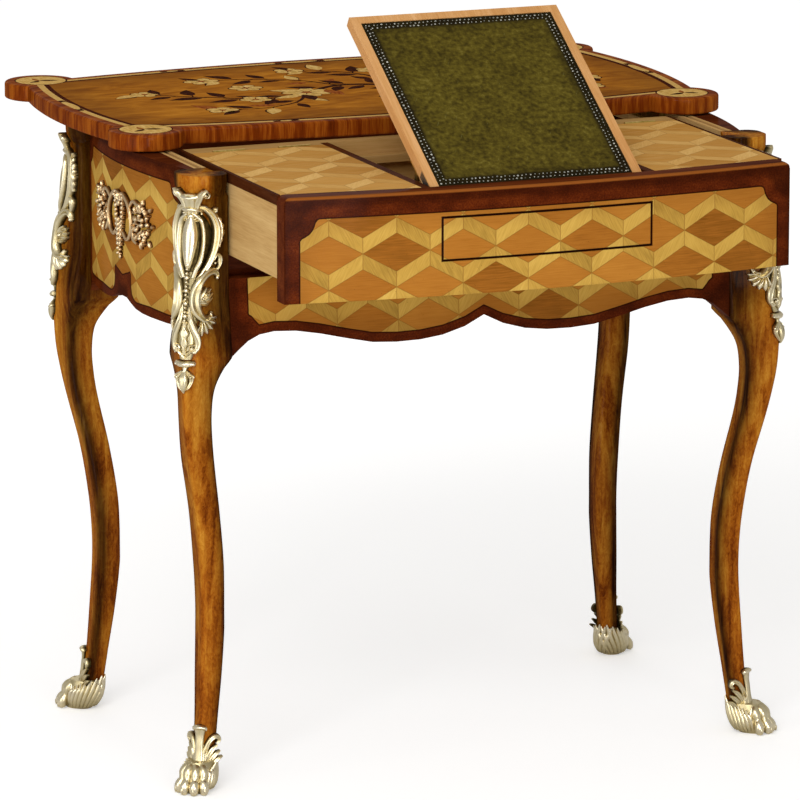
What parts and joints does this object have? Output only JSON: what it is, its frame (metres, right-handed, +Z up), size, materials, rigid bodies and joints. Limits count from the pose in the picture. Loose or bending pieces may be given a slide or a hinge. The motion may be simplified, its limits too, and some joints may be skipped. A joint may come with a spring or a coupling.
{
  "type": "mechanical writing desk",
  "caption": "Cabriole-legged writing table whose drawer and top slide apart on racks and pinions, with lidded compartments and a tilting leather reading slope.",
  "frame": {"origin": "on the floor, under the centre of the whole table's bounding box as it stands open", "axes": "+X to the sitter's right, +Y from the drawer front to the back, +Z up"},
  "size_m": [0.776, 0.8124, 0.8846],
  "materials": {
    "leg_walnut": "polished, figured brown with dark edges",
    "cast_bronze": "pale gilt casting, dark in the hollows",
    "cube_parquetry": "polished cube parquetry in three tones with dark banding",
    "front_parquetry": "polished cube parquetry in a dark mahogany frame",
    "rail_mahogany": "polished dark mahogany",
    "runner_beech": "bare, waxed",
    "gear_brass": "machined, oiled",
    "top_core": "bare underside",
    "top_crossbanding": "polished, grain across the edge",
    "top_marquetry": "polished floral marquetry in a banded border",
    "drawer_oak": "bare quartered oak",
    "walnut_lining": "polished dark walnut",
    "lid_parquetry": "polished cube parquetry with dark edges",
    "hinge_brass": "polished",
    "slope_frame_wood": "pale satin hardwood",
    "slope_board_wood": "bare board",
    "tooled_leather": "mottled olive, tooled border of small silver dots",
    "pivot_steel": "brushed"
  },
  "bodies": {
    "case": {"leg_front_left": "leg_walnut", "leg_front_right": "leg_walnut", "leg_back_left": "leg_walnut", "leg_back_right": "leg_walnut", "sabot_front_left": "cast_bronze", "sabot_front_right": "cast_bronze", "sabot_back_left": "cast_bronze", "sabot_back_right": "cast_bronze", "knee_mount_front_left": "cast_bronze", "knee_mount_front_right": "cast_bronze", "knee_mount_back_left": "cast_bronze", "knee_mount_back_right": "cast_bronze", "side_panel_left": "cube_parquetry", "side_panel_right": "cube_parquetry", "side_mount_left": "cast_bronze", "side_mount_right": "cast_bronze", "runner_left": "runner_beech", "runner_right": "runner_beech", "top_guide_left": "runner_beech", "top_guide_right": "runner_beech", "pinion_bracket_left": "gear_brass", "pinion_bracket_right": "gear_brass", "front_apron": "cube_parquetry", "front_rail": "rail_mahogany", "back_panel": "cube_parquetry"},
    "top": {"top_board": "top_core", "top_banding": "top_crossbanding", "top_marquetry": "top_marquetry", "top_batten_left": "runner_beech", "top_batten_right": "runner_beech", "top_rack_left": "gear_brass", "top_rack_right": "gear_brass"},
    "pinion_left": {"pinion_left": "gear_brass"},
    "pinion_right": {"pinion_right": "gear_brass"},
    "drawer": {"drawer_front": "front_parquetry", "drawer_side_left": "drawer_oak", "drawer_side_right": "drawer_oak", "drawer_caps": "walnut_lining", "drawer_back": "drawer_oak", "drawer_bottom": "drawer_oak", "partition_left": "walnut_lining", "partition_right": "walnut_lining", "well_ledger": "drawer_oak", "drawer_rack_left": "gear_brass", "drawer_rack_right": "gear_brass", "stay_guides": "hinge_brass", "pen_drawer_runners": "drawer_oak", "rail_leaves": "hinge_brass"},
    "lid_left": {"lid_left": "lid_parquetry", "lid_leaves_left": "hinge_brass"},
    "lid_right": {"lid_right": "lid_parquetry", "lid_leaves_right": "hinge_brass"},
    "slope": {"slope_frame": "slope_frame_wood", "slope_board": "slope_board_wood", "slope_leather": "tooled_leather", "slope_pivots": "pivot_steel", "slope_stays": "hinge_brass"},
    "pen_drawer": {"pen_drawer_front": "front_parquetry", "pen_drawer_box": "drawer_oak"}
  },
  "joints": [
    {"name": "drawer_slide", "type": "slide", "parent": "case", "child": "drawer", "axis": [0, -1, 0], "range_m": [-0.12, 0]},
    {"name": "top_slide", "type": "slide", "parent": "case", "child": "top", "axis": [0, 1, 0], "range_m": [-0.12, 0]},
    {"name": "pinion_left_spin", "type": "hinge", "parent": "case", "child": "pinion_left", "pos_m": [-0.3205, 0.00125, 0.693], "axis": [1, 0, 0], "range_deg": [-1, 345]},
    {"name": "pinion_right_spin", "type": "hinge", "parent": "case", "child": "pinion_right", "pos_m": [0.3205, 0.00125, 0.693], "axis": [1, 0, 0], "range_deg": [-1, 345]},
    {"name": "lid_left_hinge", "type": "hinge", "parent": "drawer", "child": "lid_left", "pos_m": [-0.226, -0.07175, 0.7276], "axis": [-1, 0, 0], "range_deg": [0, 140]},
    {"name": "lid_right_hinge", "type": "hinge", "parent": "drawer", "child": "lid_right", "pos_m": [0.226, -0.07175, 0.7276], "axis": [-1, 0, 0], "range_deg": [0, 140]},
    {"name": "slope_tilt", "type": "hinge", "parent": "drawer", "child": "slope", "pos_m": [0, -0.37038, 0.7182], "axis": [1, 0, 0], "range_deg": [-32.5, 22.5]},
    {"name": "pen_drawer_slide", "type": "slide", "parent": "drawer", "child": "pen_drawer", "axis": [0, -1, 0], "range_m": [0, 0.1]}
  ],
  "couplings": [
    {"joint": "top_slide", "follows": "drawer_slide", "ratio": 1},
    {"joint": "pinion_left_spin", "follows": "drawer_slide", "rad_per_m": -50},
    {"joint": "pinion_right_spin", "follows": "drawer_slide", "rad_per_m": -50}
  ]
}
